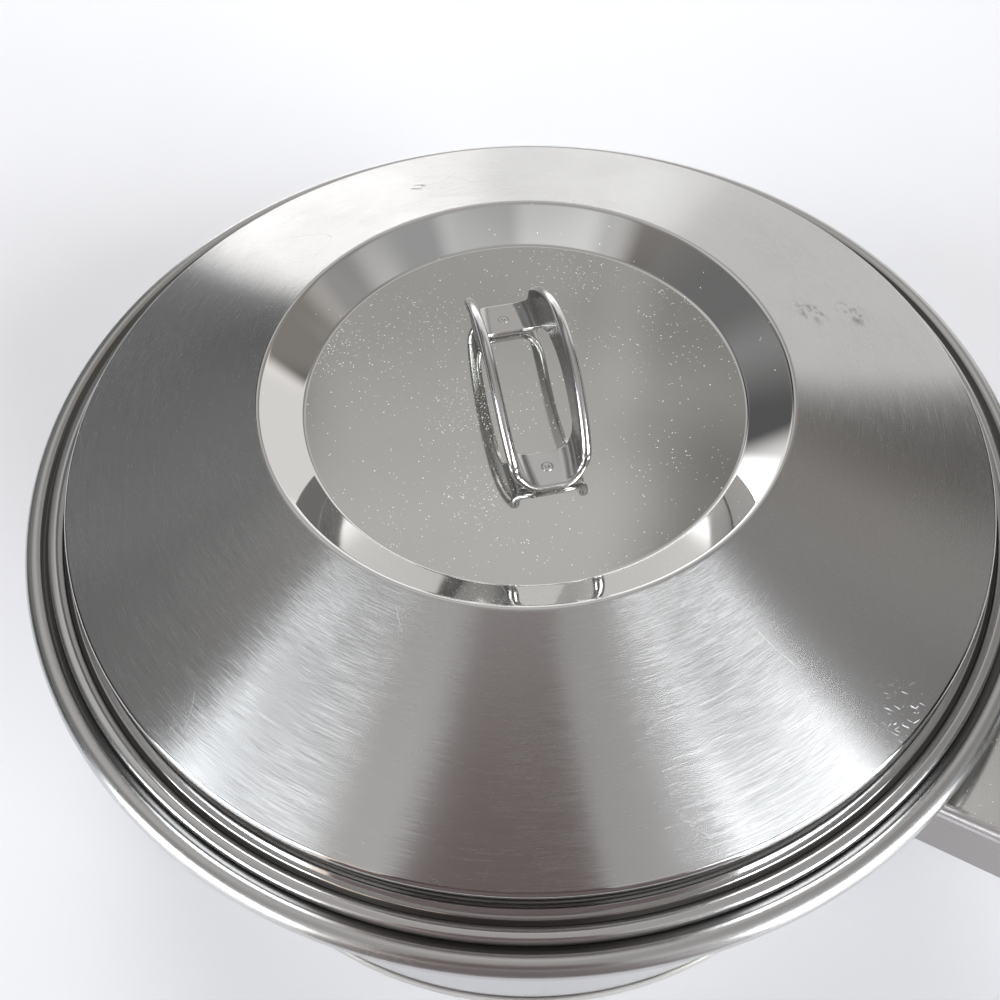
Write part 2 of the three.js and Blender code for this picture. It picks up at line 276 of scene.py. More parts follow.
def make_piece(
    name: str,
    patches: Sequence[Patch],
    finishes: Sequence[bpy.types.Material],
    turn: Array = np.eye(3),
    origin: Sequence[float] = (0.0, 0.0, 0.0),
) -> bpy.types.Object:
    """Joins patches into one closed mesh object in the part's frame.

    Corners in the same place share a vertex, which closes seams and poles, and faces are turned outwards.

    Args:
        name: Name of the piece.
        patches: Grids that make up its skin.
        finishes: Materials that the patches' finish numbers refer to.
        turn: Matrix from the patches' axes to the part's.
        origin: Place of the patches' origin in the part, in millimetres.

    Returns:
        The object, at the origin.
    """
    parts = [patch.faces() for patch in patches]
    offsets = running([patch.points.shape[0] * patch.points.shape[1] for patch in patches])
    local = np.vstack([patch.points.reshape(-1, 3) for patch in patches])
    places = (local @ turn.T + np.array(origin)) * MM
    uv = np.vstack([patch.uv.reshape(-1, 2) for patch in patches])
    quads = np.vstack([faces + offset for (faces, _), offset in zip(parts, offsets)])
    worn = np.concatenate([slots for _, slots in parts])

    spots = np.round(places * JOIN_STEPS).astype(np.int64)
    _, first, spot = np.unique(spots, axis=0, return_index=True, return_inverse=True)
    corners = spot.reshape(-1)[quads]
    live = corners != np.roll(corners, 1, axis=1)
    good = live.sum(1) >= 3
    good &= (corners[:, 0] != corners[:, 2]) & (corners[:, 1] != corners[:, 3])
    live, corners, quads, worn = live[good], corners[good], quads[good], worn[good]
    counts = live.sum(1)

    mesh = bpy.data.meshes.new(name)
    mesh.vertices.add(len(first))
    mesh.vertices.foreach_set("co", places[first].ravel())
    mesh.loops.add(int(counts.sum()))
    mesh.loops.foreach_set("vertex_index", corners[live])
    mesh.polygons.add(len(counts))
    mesh.polygons.foreach_set("loop_start", running(counts)[:-1])
    mesh.polygons.foreach_set("material_index", worn.astype(np.int32))
    mesh.update(calc_edges=True)
    layer = mesh.uv_layers.new(name="skin")
    layer.uv.foreach_set("vector", uv[quads][live].astype(np.float32).ravel())
    for finish in finishes:
        mesh.materials.append(finish)
    work = bmesh.new()
    work.from_mesh(mesh)
    bmesh.ops.recalc_face_normals(work, faces=work.faces)
    work.to_mesh(mesh)
    work.free()
    mesh.shade_smooth()
    piece = bpy.data.objects.new(name, mesh)
    bpy.context.scene.collection.objects.link(piece)
    return piece


def dress(piece: bpy.types.Object, body: Body, node: str) -> None:
    """Makes a piece ride on a body and stand for a CAD node, and reports it.

    Args:
        piece: The piece.
        body: Body it moves with.
        node: CAD node that it stands for.
    """
    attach(piece, body.value)
    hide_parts(node)
    places = np.empty(3 * len(piece.data.vertices), dtype=np.float32)
    piece.data.vertices.foreach_get("co", places)
    size = np.ptp(places.reshape(-1, 3), axis=0) / MM
    log.info("%s: %d faces, %.1f x %.1f x %.1f mm", piece.name, len(piece.data.polygons), *size)


class Shade:
    """Short calls that build one node tree."""

    def __init__(self, tree: bpy.types.NodeTree) -> None:
        """Empties the tree and keeps it."""
        self.tree = tree
        tree.nodes.clear()

    def node(self, kind: str, inputs: Optional[Inputs] = None, **settings: object) -> bpy.types.Node:
        """Adds a node.

        Args:
            kind: Node type without its ShaderNode prefix.
            inputs: Values or sockets by input name or number.
            **settings: Properties of the node.

        Returns:
            The node.
        """
        made = self.tree.nodes.new("ShaderNode" + kind)
        for key, value in settings.items():
            setattr(made, key, value)
        for key, value in (inputs or {}).items():
            self.feed(made.inputs[key], value)
        return made

    def feed(self, socket: Socket, value: object) -> None:
        """Links a socket into an input, or sets the input's own value.

        Args:
            socket: The input.
            value: Socket to link, or value to set.
        """
        if isinstance(value, bpy.types.NodeSocket):
            self.tree.links.new(value, socket)
        else:
            socket.default_value = value

    def math(self, operation: str, a: Value, b: Value = 0.0, clamp: bool = False) -> Socket:
        """Result of a math node.

        Args:
            operation: Name of the operation.
            a: First value.
            b: Second value.
            clamp: Whether the result is held between 0 and 1.

        Returns:
            The result's socket.
        """
        return self.node("Math", {0: a, 1: b}, operation=operation, use_clamp=clamp).outputs[0]

    def times(self, a: Value, b: Value) -> Socket:
        """Product of two values."""
        return self.math("MULTIPLY", a, b)

    def vector(self, operation: str, a: object, b: object = (0.0, 0.0, 0.0), out: str = "Vector") -> Socket:
        """Result of a vector math node.

        Args:
            operation: Name of the operation.
            a: First vector.
            b: Second vector, or the factor of a scaling.
            out: Name of the output, which is Value for a distance or a product of two vectors.

        Returns:
            The result's socket.
        """
        made = self.node("VectorMath", {0: a}, operation=operation)
        self.feed(made.inputs["Scale"] if operation == "SCALE" else made.inputs[1], b)
        return made.outputs[out]

    def fit(self, value: Value, low: float, high: float, to_low: Value = 0.0, to_high: Value = 1.0) -> Socket:
        """Value carried smoothly from the range low to high into another, and held at its ends."""
        names = {"Value": value, "From Min": low, "From Max": high, "To Min": to_low, "To Max": to_high}
        return self.node("MapRange", names, interpolation_type="SMOOTHSTEP").outputs["Result"]

    def blend(self, share: Value, a: object, b: object) -> Socket:
        """Colour between two others.

        Args:
            share: Share of the second colour.
            a: First colour, or its socket.
            b: Second colour, or its socket.

        Returns:
            The colour's socket.
        """
        made = self.node("Mix", data_type="RGBA")
        self.feed(made.inputs[0], share)
        for socket, value in ((made.inputs[6], a), (made.inputs[7], b)):
            self.feed(socket, value if isinstance(value, bpy.types.NodeSocket) else (*value, 1.0))
        return made.outputs[2]

    def noise(self, at: Socket, scale: float, detail: float = 2.0, rough: float = 0.5) -> Socket:
        """Value of a noise texture, with scale as its features per unit of the place."""
        names = {"Vector": at, "Scale": scale, "Detail": detail, "Roughness": rough}
        return self.node("TexNoise", names).outputs[0]


def new_surface(name: str, inputs: Inputs) -> tuple[bpy.types.Material, Shade, bpy.types.Node, Socket]:
    """Starts a node material with one principled surface.

    Args:
        name: Name of the material.
        inputs: Inputs of the surface that are the same all over it.

    Returns:
        The material, its node builder, the surface's node and the object coordinates.
    """
    made = bpy.data.materials.new(name)
    made.use_nodes = True
    shade = Shade(made.node_tree)
    surface = shade.node("BsdfPrincipled", inputs)
    shade.feed(shade.node("OutputMaterial").inputs["Surface"], surface.outputs[0])
    return made, shade, surface, shade.node("TexCoord").outputs["Object"]


def mottled(
    name: str, inputs: Inputs, scale: float, detail: float, tones: Sequence[Triple]
) -> bpy.types.Material:
    """Plain material whose colour drifts between two tones.

    Args:
        name: Name of the material.
        inputs: Inputs of the surface that are the same all over it.
        scale: Patches per metre.
        detail: Finer layers of the patches.
        tones: The two tones.

    Returns:
        The material.
    """
    made, shade, surface, at = new_surface(name, inputs)
    shade.feed(surface.inputs["Base Color"], shade.blend(shade.noise(at, scale, detail), *tones))
    return made


@dataclass(frozen=True)
class Mark:
    """A worn place on a finish.

    Attributes:
        wear: What the place shows.
        at: Its middle in the part's frame, in millimetres.
        reach: Distance at which it has faded, in millimetres.
        core: Share of the reach within which it is full.
    """

    wear: Wear
    at: Triple
    reach: float
    core: float = 0.2

    def share(self, shade: Shade, at: Socket) -> Socket:
        """How much of the mark shows at a point: 1 near its middle, easing to 0 at its reach."""
        away = shade.vector("DISTANCE", at, tuple(MM * v for v in self.at), "Value")
        return shade.fit(away, self.core * self.reach * MM, self.reach * MM, 1.0, 0.0)


@dataclass(frozen=True)
class Steel:
    """A stainless steel finish.

    Attributes:
        name: Name of the finish.
        tint: Colour of its reflections.
        roughness: Roughness between grain lines.
        grain: Direction of brushing.
        anisotropy: How much further highlights spread across the grain than along it.
        relief: Depth of the grain lines, in metres.
        streak: Share by which grain lines change colour and roughness.
        smudge: Roughness that handling marks add.
        dust: Share of dust grains that show.
        scratch: Strength of fine hairline scratches.
        sway: Slope of the grain's lines along the grain.
        film: Share of a thin matt film.
        marks: Worn places.
        drift: Share by which the tint drifts up and down.
        waviness: Depth of slow waves left by the press, in metres.
        scratch_depth: Depth of the hairlines, in metres.
        scratch_tone: Colour of the hairlines.
    """

    name: str
    tint: Triple
    roughness: float
    grain: Grain = Grain.NONE
    anisotropy: float = 0.0
    relief: float = 0.0
    streak: float = 0.0
    smudge: float = 0.0
    dust: float = 0.0
    scratch: float = 0.0
    sway: float = 0.0
    film: float = 0.0
    marks: tuple[Mark, ...] = ()
    drift: float = 0.04
    waviness: float = 1e-6
    scratch_depth: float = 6e-6
    scratch_tone: Triple = (0.9, 0.9, 0.9)

    def grain_lines(self, shade: Shade, at: Socket) -> Socket:
        """Noise drawn out along the grain.

        Round grain reads noise at (cos a, sin a, length along the section), with the length far more finely
        divided than the angle a; long grain reads it with the length along the piece drawn out.

        Args:
            shade: Node builder.
            at: Object coordinates.

        Returns:
            Noise between 0 and 1.
        """
        skin = shade.node("UVMap", uv_map="skin").outputs[0]
        u, v, _ = shade.node("SeparateXYZ", {0: skin}).outputs
        if self.grain is Grain.ROUND:
            around, across = 14.0, 4200.0
            flat = shade.vector("MULTIPLY", at, (1.0, 1.0, 0.0))
            spoke = shade.vector("SCALE", shade.vector("NORMALIZE", flat), around)
            lines = shade.node("CombineXYZ", {"Z": shade.times(u, across)}).outputs[0]
            place = shade.vector("ADD", spoke, lines)
        else:
            along, across = 130.0, 2600.0
            sides = {"X": shade.times(u, along), "Y": shade.times(v, across)}
            place = shade.node("CombineXYZ", sides).outputs[0]
        return shade.noise(place, scale=1.0, detail=3.0, rough=0.65)

    def worn(self, shade: Shade, at: Socket, wear: Wear) -> Value:
        """Largest share of this finish's marks of one kind.

        Args:
            shade: Node builder.
            at: Object coordinates.
            wear: Kind of mark.

        Returns:
            The share, or 0 where there are none.
        """
        most: Value = 0.0
        for mark in self.marks:
            if mark.wear is wear:
                most = shade.math("MAXIMUM", mark.share(shade, at), most)
        return most

    def dust_grains(self, shade: Shade, at: Socket) -> Socket:
        """Mask of pale dust: small round spots in some cells of two random nets, denser in patches and marks.

        Args:
            shade: Node builder.
            at: Object coordinates.

        Returns:
            Share of dust.
        """
        patches = shade.fit(shade.noise(at, scale=34.0, detail=4.0, rough=0.65), 0.45, 0.72, 0.06, 0.5)
        gathered = shade.times(self.worn(shade, at, Wear.DUST), 0.9)
        lot = shade.times(shade.math("MAXIMUM", patches, gathered), self.dust)
        found: Value = 0.0
        for cells_per_metre, share, radius in ((2200.0, 1.0, 0.38), (600.0, 0.2, 0.13)):
            cells = shade.node("TexVoronoi", {"Vector": at, "Scale": cells_per_metre})
            chance, size, _ = shade.node("SeparateXYZ", {0: cells.outputs["Color"]}).outputs
            beyond = shade.math("SUBTRACT", cells.outputs["Distance"], shade.times(size, radius))
            near = shade.fit(beyond, -0.04, 0.05, 0.8, 0.0)
            chosen = shade.math("LESS_THAN", chance, shade.times(lot, share))
            found = shade.math("MAXIMUM", shade.times(near, chosen), found)
        return found

    def nicks(self, shade: Shade, at: Socket) -> Socket:
        """Mask of short straight cuts at two slants: the peaks of noise drawn out along each slant.

        Args:
            shade: Node builder.
            at: Object coordinates.

        Returns:
            Share of the cuts.
        """
        along_scale, across_scale, edge = 400.0, 2400.0, 0.05
        found: Value = 0.0
        for slant, peak in ((16.0, 0.67), (72.0, 0.68)):
            along, square = turn_z(slant)[:, 0], turn_z(slant)[:, 1]
            place = shade.node("CombineXYZ", {
                "X": shade.vector("DOT_PRODUCT", at, tuple(along_scale * along), "Value"),
                "Y": shade.vector("DOT_PRODUCT", at, tuple(across_scale * square), "Value"),
                "Z": slant,
            }).outputs[0]
            cut = shade.fit(shade.noise(place, scale=1.0, detail=1.0, rough=0.4), peak, peak + edge)
            found = shade.math("MAXIMUM", cut, found)
        return shade.times(found, self.worn(shade, at, Wear.NICKS))

    def stains(self, shade: Shade, at: Socket) -> Socket:
        """Mask of dark residue: soft spots at the marks."""
        spots = shade.fit(shade.noise(at, scale=420.0, detail=3.0, rough=0.6), 0.44, 0.74)
        return shade.times(spots, self.worn(shade, at, Wear.STAIN))

    def hairlines(self, shade: Shade, at: Socket) -> Socket:
        """Mask of fine scratches: level lines of two broad noises, broken into lengths by a third.

        Args:
            shade: Node builder.
            at: Object coordinates.

        Returns:
            Share of the scratches.
        """
        shifted = shade.vector("ADD", at, (3.1, 1.7, 0.4))
        first = shade.math("SUBTRACT", shade.noise(at, scale=21.0, detail=1.0, rough=0.4), 0.5)
        second = shade.math("SUBTRACT", shade.noise(shifted, scale=33.0, detail=1.0, rough=0.4), 0.44)
        nearest = shade.math("MINIMUM", shade.math("ABSOLUTE", first), shade.math("ABSOLUTE", second))
        line = shade.fit(nearest, 0.0008, 0.0024, 1.0, 0.0)
        lengths = shade.fit(shade.noise(at, scale=60.0), 0.55, 0.63)
        return shade.times(shade.times(line, lengths), self.scratch)

    def covers(self, shade: Shade, at: Socket) -> list[tuple[Socket, Triple]]:
        """Layers that lie on the steel, from the lowest up.

        Args:
            shade: Node builder.
            at: Object coordinates.

        Returns:
            Mask and colour of each layer.
        """
        worn = {mark.wear for mark in self.marks}
        layers = []
        if Wear.STAIN in worn:
            layers.append((self.stains(shade, at), WEAR_TONES[Wear.STAIN]))
        if Wear.NICKS in worn:
            layers.append((self.nicks(shade, at), WEAR_TONES[Wear.NICKS]))
        if self.dust:
            layers.append((self.dust_grains(shade, at), WEAR_TONES[Wear.DUST]))
        return layers

    def normal(self, shade: Shade, at: Socket, height: Socket, line: Value) -> Socket:
        """Surface normal: bumped by the height, and leaned along round grain by each line's own share.

        The lean's direction is the unit vector round the axis, square to the upright and to the place.

        Args:
            shade: Node builder.
            at: Object coordinates.
            height: Height of the surface, in metres.
            line: Grain lines about zero.

        Returns:
            The normal.
        """
        bumped = shade.node("Bump", {"Strength": 1.0, "Distance": 1.0, "Height": height}).outputs[0]
        if not self.sway:
            return bumped
        around = shade.vector("NORMALIZE", shade.vector("CROSS_PRODUCT", (0.0, 0.0, 1.0), at))
        lean = shade.vector("SCALE", around, shade.times(line, self.sway))
        return shade.vector("NORMALIZE", shade.vector("ADD", bumped, lean))

    def material(self) -> bpy.types.Material:
        """Builds the finish as a node material.

        Returns:
            The material.
        """
        made, shade, surface, at = new_surface(self.name, {"Anisotropic": self.anisotropy})
        handled = shade.fit(shade.noise(at, scale=34.0, detail=4.0, rough=0.6), 0.3, 0.75)
        rough = shade.math("ADD", shade.times(handled, self.smudge), self.roughness)
        low, high = (tuple(level * c for c in self.tint) for level in (1.0 - self.drift, 1.0 + self.drift))
        colour = shade.blend(shade.noise(at, scale=9.0, detail=3.0), low, high)
        height = shade.times(shade.noise(at, scale=90.0), self.waviness)
        metal: Value = 1.0
        line: Value = 0.0

        if self.grain is not Grain.NONE:
            lines = self.grain_lines(shade, at)
            line = shade.math("SUBTRACT", lines, 0.5)
            half_swing = shade.times(shade.times(line, self.streak), 0.5)
            colour = shade.vector("SCALE", colour, shade.math("ADD", half_swing, 1.0))
            rough = shade.math("ADD", rough, half_swing)
            height = shade.math("ADD", height, shade.times(lines, self.relief))
            if self.anisotropy:
                tangent = shade.node("Tangent", direction_type="UV_MAP", uv_map="skin").outputs[0]
                shade.feed(surface.inputs["Tangent"], tangent)
        if self.film:
            clouds = shade.noise(at, scale=20.0, detail=4.0, rough=0.65)
            metal = shade.math("SUBTRACT", 1.0, shade.fit(clouds, 0.3, 0.7, 0.45 * self.film, self.film))
        if self.scratch:
            cut = self.hairlines(shade, at)
            height = shade.math("SUBTRACT", height, shade.times(cut, self.scratch_depth))
            colour = shade.blend(shade.times(cut, 0.4), colour, self.scratch_tone)
            rough = shade.math("ADD", rough, shade.times(cut, 0.2))
        for cover, tone in self.covers(shade, at):
            colour = shade.blend(cover, colour, tone)
            rough = shade.math("ADD", rough, shade.times(cover, 0.5), clamp=True)
            metal = shade.times(metal, shade.math("SUBTRACT", 1.0, shade.times(cover, 0.9)))

        shade.feed(surface.inputs["Metallic"], metal)
        shade.feed(surface.inputs["Normal"], self.normal(shade, at, height, line))
        shade.feed(surface.inputs["Base Color"], colour)
        shade.feed(surface.inputs["Roughness"], rough)
        return made


def refinish(node: str, finish: Steel) -> None:
    """Gives a CAD node that stays in the scene a finish of its own.

    Args:
        node: Name of the node.
        finish: Its finish.
    """
    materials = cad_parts[node].data.materials
    materials.clear()
    materials.append(finish.material())


@dataclass
class Pot:
    """The pot's drawn body and its sandwich base, about the vertical axis."""

    inner_radius: float = 118.8
    height: float = 108.3
    sheet: float = 1.0
    corner_radius: float = 5.0
    flare_angle: float = 40.0
    flare_length: float = 7.67
    flare_bend: float = 3.0
    roll_radius: float = 2.6
    roll_turn: float = 260.0
    roll_steps: int = 40
    rim_below: float = 1.5
    underside: float = 6.0
    cap_sheet: float = 0.8
    cap_edge: float = 1.8
    cap_radius: float = 119.55
    cap_top: float = 9.5

    @property
    def flare_foot(self) -> float:
        """Height at which the wall would meet the flare without a bend."""
        lean = np.radians(self.flare_angle)
        return self.height - self.roll_radius * (1.0 - np.cos(lean)) - self.flare_length * np.sin(lean)

    def body_outline(self) -> Array:
        """Outline of the sheet: floor, corner, wall, flare and the roll that ends it.

        The roll is an arc that leaves the flare's tip in the flare's own direction.

        Returns:
            Points of the outline.
        """
        lean = np.radians(self.flare_angle)
        out = np.array([np.cos(lean), np.sin(lean)])
        tip = np.array([self.inner_radius, self.flare_foot]) + out * self.flare_length
        floor = self.underside + self.sheet
        wall = rounded_path([
            (0.0, floor, 0.0),
            (self.inner_radius, floor, self.corner_radius),
            (self.inner_radius, self.flare_foot, self.flare_bend),
            (tip[0], tip[1], 0.0),
        ])
        centre = tip + self.roll_radius * np.array([out[1], -out[0]])
        angle = np.pi / 2 + lean - np.linspace(0.0, np.radians(self.roll_turn), self.roll_steps)
        roll = centre + self.roll_radius * np.column_stack([np.cos(angle), np.sin(angle)])
        return sheet_outline(np.vstack([wall[:-1], roll]), self.sheet)

    def cap_outline(self) -> Array:
        """Outline of the pressed cap that closes the base in: a flat disc with an upright edge.

        Returns:
            Points of the outline.
        """
        inside = rounded_path([
            (0.0, self.cap_sheet, 0.0),
            (self.cap_radius, self.cap_sheet, self.cap_edge - self.cap_sheet),
            (self.cap_radius, self.cap_top, 0.0),
        ])
        return sheet_outline(inside, self.cap_sheet)

    def build(
        self, outside: Steel, inside: Steel, rim: Steel, flare: Steel, base: Steel, core: Steel
    ) -> None:
        """Makes and dresses the body and the base.

        Args:
            outside: Finish of the wall's outside, whose darkened tint is painted shade.
            inside: Finish of the cooking space.
            rim: Finish of the roll and the flare's outside.
            flare: Finish of the flare's inside, whose dark tint is painted shade.
            base: Finish of the cap.
            core: Finish of the disc inside the cap.
        """
        outline = self.body_outline()
        middle = (outline[1:] + outline[:-1]) / 2.0
        tip_radius = self.inner_radius + self.flare_length * np.cos(np.radians(self.flare_angle))
        at_rim = middle[:, 1] > self.flare_foot - self.rim_below
        within = np.arange(len(middle)) > len(middle) // 2
        # Slot 3, the flare's inside, takes a finish whose dark tint is painted shade.
        at_flare = within & (middle[:, 0] < tip_radius)
        slots = np.where(at_rim, np.where(at_flare, 3, 2), np.where(within, 1, 0))
        finishes = [finish.material() for finish in (outside, inside, rim, flare)]
        body = make_piece("pot_drawn_body", [revolve(outline, slots)], finishes)
        dress(body, Body.POT, "pot_body")
        cap = make_piece("pot_base_cap", [revolve(self.cap_outline())], [base.material()])
        dress(cap, Body.POT, "base_cap")
        refinish("base_core", core)


@dataclass
class Lid:
    """The pressed lid: sunk disc, dish, brushed cone, step, locating channel and flange."""

    sheet: float = 0.8
    disc: float = 126.19
    disc_radius: float = 54.8
    disc_bend: float = 1.5
    crest_radius: float = 64.3
    crest: float = 134.09
    crest_bend: float = 1.6
    cone_radius: float = 116.1
    cone_edge: float = 115.49
    cone_bend: float = 1.4
    step_lean: float = 0.5
    step_bend: float = 1.2
    ledge_top: float = 108.5
    ledge_foot: float = 106.95
    ledge_reach: float = 2.1
    ledge_bend: float = 1.6
    channel_radius: float = 119.3
    channel_bottom: float = 106.4
    channel_bend: float = 0.2
    flange_radius: float = 123.0
    flange_top: float = 108.39
    flange_edge: float = 106.59
    flange_width: float = 2.4
    flange_taper: float = 0.3
    flange_bend: float = 1.1

    def outline(self) -> tuple[Array, Array]:
        """Outline of the sheet and each part's finish number.

        Returns:
            Points of the outline, and 0 to 6 for each run: underside, disc, dish, cone, step, channel and
            flange.
        """
        path = rounded_path([
            (0.0, self.disc, 0.0),
            (self.disc_radius, self.disc, self.disc_bend),
            (self.crest_radius, self.crest, self.crest_bend),
            (self.cone_radius, self.cone_edge, self.cone_bend),
            (self.cone_radius + self.step_lean, self.ledge_top, self.step_bend),
            (self.cone_radius + self.ledge_reach, self.ledge_foot, self.ledge_bend),
            (self.channel_radius, self.channel_bottom, self.channel_bend),
            (self.flange_radius - self.flange_width, self.flange_top, self.flange_bend),
            (self.flange_radius - self.flange_taper, self.flange_top, self.flange_bend),
            (self.flange_radius, self.flange_edge, 0.0),
        ])
        outline = sheet_outline(path, self.sheet)
        middle = (outline[1:] + outline[:-1]) / 2.0
        # Radii at which the top's finishes change, each a little off its corner.
        borders = [
            self.disc_radius - 0.5,
            self.crest_radius + 0.4,
            self.cone_radius - 0.9,
            self.channel_radius - 0.7,
            self.channel_radius + 0.3,
        ]
        zone = 1 + np.searchsorted(borders, middle[:, 0])
        top = np.arange(len(middle)) >= len(path)
        return outline, np.where(top, zone, 0)

    def build(self, finishes: Sequence[Steel]) -> None:
        """Makes and dresses the lid.

        Args:
            finishes: Finishes of the underside, disc, dish, cone, step, channel and flange; the channel's
                dark tint is dirt and painted shade.
        """
        outline, zone = self.outline()
        shell = make_piece("lid_pressed_shell", [revolve(outline, zone)], [f.material() for f in finishes])
        dress(shell, Body.LID, "lid_shell")


@dataclass
class LidHandle:
    """The lid's pressed handle: a sheet with a window, two welded feet and an edge rolled outwards.

    X runs along the handle, Y across it, and Z = 0 is the underside of its feet.
    """

    turn: float = 140.4
    height: float = 126.49
    foot_end: float = 29.7
    horn_end: float = 27.2
    crest: float = 20.4
    horn: float = 7.0
    arch: float = 11.5
    window: float = 20.4
    foot_top: float = 1.6
    side: float = 6.9
    bulge: float = 1.2
    bulge_end: float = 29.5
    bulge_power: float = 3.7
    fillet: float = 4.2
    bead: float = 1.25
    foot_bead: float = 0.95
    bead_turn: float = 255.0
    sheet: float = 1.3
    foot_sheet: float = 1.85
    rear_gap: float = 1.25
    mouth_round: float = 0.45
    stud_spacing: float = 49.2
    quarter: int = 72

    def wall(self, x: Array) -> Array:
        """Inner half width: the side, plus a bulge that fades by a power of the place towards the ends."""
        return self.side + self.bulge * (1.0 - (np.abs(x) / self.bulge_end) ** self.bulge_power)

    def unroll(self, x: Array, z: Array) -> Array:
        """Length across the section from the middle to a height on its side.

        Args:
            x: Place along the handle.
            z: Height on the fillet or the wall.

        Returns:
            Length along the flat, the fillet and the wall.
        """
        over = np.maximum(z - self.foot_top, 0.0)
        angle = np.arccos(np.clip(1.0 - over / self.fillet, 0.0, 1.0))
        return self.wall(x) - self.fillet + self.fillet * angle + np.maximum(over - self.fillet, 0.0)

    def skin(self, x: Array, s: Array) -> tuple[Array, Array]:
        """Rolls the flat sheet up into the handle's section.

        The section is a flat, then a quarter turn of the fillet's radius, then an upright wall; s is the
        length along it, with its sign giving the side.

        Args:
            x: Place along the handle.
            s: Length across the section.

        Returns:
            Points, and unit normals that face the inside of the section.
        """
        flat = self.wall(x) - self.fillet
        angle = np.clip((np.abs(s) - flat) / self.fillet, 0.0, np.pi / 2)
        rise = np.maximum(np.abs(s) - flat - self.fillet * np.pi / 2, 0.0)
        across = np.minimum(np.abs(s), flat) + self.fillet * np.sin(angle)
        z = self.foot_top + self.fillet * (1.0 - np.cos(angle)) + rise
        sign = np.sign(s)
        normal = np.stack([0.0 * x, -sign * np.sin(angle), np.cos(angle)], axis=-1)
        return np.stack([x, sign * across, z], axis=-1), normal

    def loops(self) -> tuple[Array, Array]:
        """Window edge and outer edge in the flat sheet, as matching closed loops of (x, s).

        Each quarter follows the arch and then the foot's edge for the window, and the bow, the horn and the
        foot's end for the outside. The quarters are mirrored, and a periodic Gaussian rounds the corners.

        Returns:
            Two (n, 2) arrays.
        """
        x_in = np.linspace(0.0, self.window, 200)
        low = self.foot_top + (self.arch - self.foot_top) * (1.0 - (x_in / self.window) ** 2)
        arch = np.column_stack([x_in, self.unroll(x_in, low)])
        foot = np.linspace(1.0, 0.0, 60)[1:, None] * np.array([0.0, arch[-1, 1]])
        inner = [arch, foot + np.array([self.window, 0.0])]
        x_out = np.linspace(0.0, self.horn_end, 200)
        high = self.horn + (self.crest - self.horn) * (1.0 - (x_out / self.horn_end) ** 2)
        bow = np.column_stack([x_out, self.unroll(x_out, high)])
        flat_to, horn_from = 3.0, 9.0
        s_end = np.linspace(bow[-1, 1], 0.0, 120)[1:]
        x_end = self.horn_end + (self.foot_end - self.horn_end) * (1.0 - ease(flat_to, horn_from, s_end))
        outer = [bow, np.column_stack([x_end, s_end])]
        return self.close(inner, joint=0.8, blur=0.8), self.close(outer, joint=0.62, blur=0.9)

    def close(self, parts: Sequence[Array], joint: float, blur: float) -> Array:
        """Closed loop from a quarter in two parts.

        Args:
            parts: Points of the side part and of the end part.
            joint: Share of the quarter's columns that the side part takes.
            blur: Rounding of the corners, in millimetres.

        Returns:
            Points of the loop, four quarters long.
        """
        share = (np.arange(self.quarter) + 0.5) / self.quarter
        side, end = (travelled(part) / travelled(part)[-1] for part in parts)
        places = np.concatenate([side * joint, joint + (1e-6 + end) * (1.0 - joint)])
        points = np.vstack(parts)
        one = np.column_stack([np.interp(share, places, points[:, k]) for k in (0, 1)])
        loop = np.vstack([one, one[::-1] * (1, -1), one * (-1, -1), one[::-1] * (-1, 1)])
        step = np.linalg.norm(np.diff(loop, axis=0), axis=1).mean()
        wave = np.fft.rfftfreq(len(loop))
        soft = np.exp(-2.0 * (np.pi * wave * blur / step) ** 2)
        return np.fft.irfft(np.fft.rfft(loop, axis=0) * soft[:, None], len(loop), axis=0)

    def frame_patch(self) -> Patch:
        """Closed skin of the pressed sheet.

        Rows run from the window's edge over the inside to the outer edge, round the rolled bead
        edge + r (d sin p - n (1 - cos p)), back along the outside at the sheet's thickness, and round the
        window's edge. d is square to the edge in the sheet, and n is the sheet's normal.

        Returns:
            The patch.
        """
        inner, outer = self.loops()
        foot_from, foot_to = 0.55, 0.8
        one = ease(foot_from, foot_to, (np.arange(self.quarter) + 0.5) / self.quarter)
        end = np.concatenate([one, one[::-1], one, one[::-1]])
        sheet = self.sheet + (self.foot_sheet - self.sheet) * end
        radius = self.bead + (self.foot_bead - self.bead) * end

        flat = inner + (outer - inner) * np.linspace(0.0, 1.0, 30)[:, None, None]
        front, _ = self.skin(flat[..., 0], flat[..., 1])
        edge, normal = self.skin(outer[:, 0], outer[:, 1])
        along = loop_direction(edge)
        out = square_to(along, front[-1] - front[-3])
        normal = square_to(out, square_to(along, normal))
        turn = np.radians(np.linspace(0.0, self.bead_turn, 22))[1:, None, None]
        bead = edge + radius[:, None] * (out * np.sin(turn) - normal * (1.0 - np.cos(turn)))

        width = np.linalg.norm(front[-1] - front[0], axis=1)
        reach = (1.0 - self.rear_gap / width)[:, None]
        flat = inner + (outer - inner) * np.linspace(1.0, 0.0, 24)[:, None, None] * reach
        place, facing = self.skin(flat[..., 0], flat[..., 1])
        rear = place - facing * sheet[:, None]

        mouth = square_to(loop_direction(front[0]), front[0] - front[2])
        turn = np.linspace(np.pi, 0.0, 9)[1:, None, None]
        middle, half = (front[0] + rear[-1]) / 2.0, (front[0] - rear[-1]) / 2.0
        lip = middle + half * np.cos(turn) + mouth * self.mouth_round * np.sin(turn)
        rows = np.concatenate([front, bead, rear, lip])
        return grid(np.concatenate([rows, rows[:, :1]], axis=1))

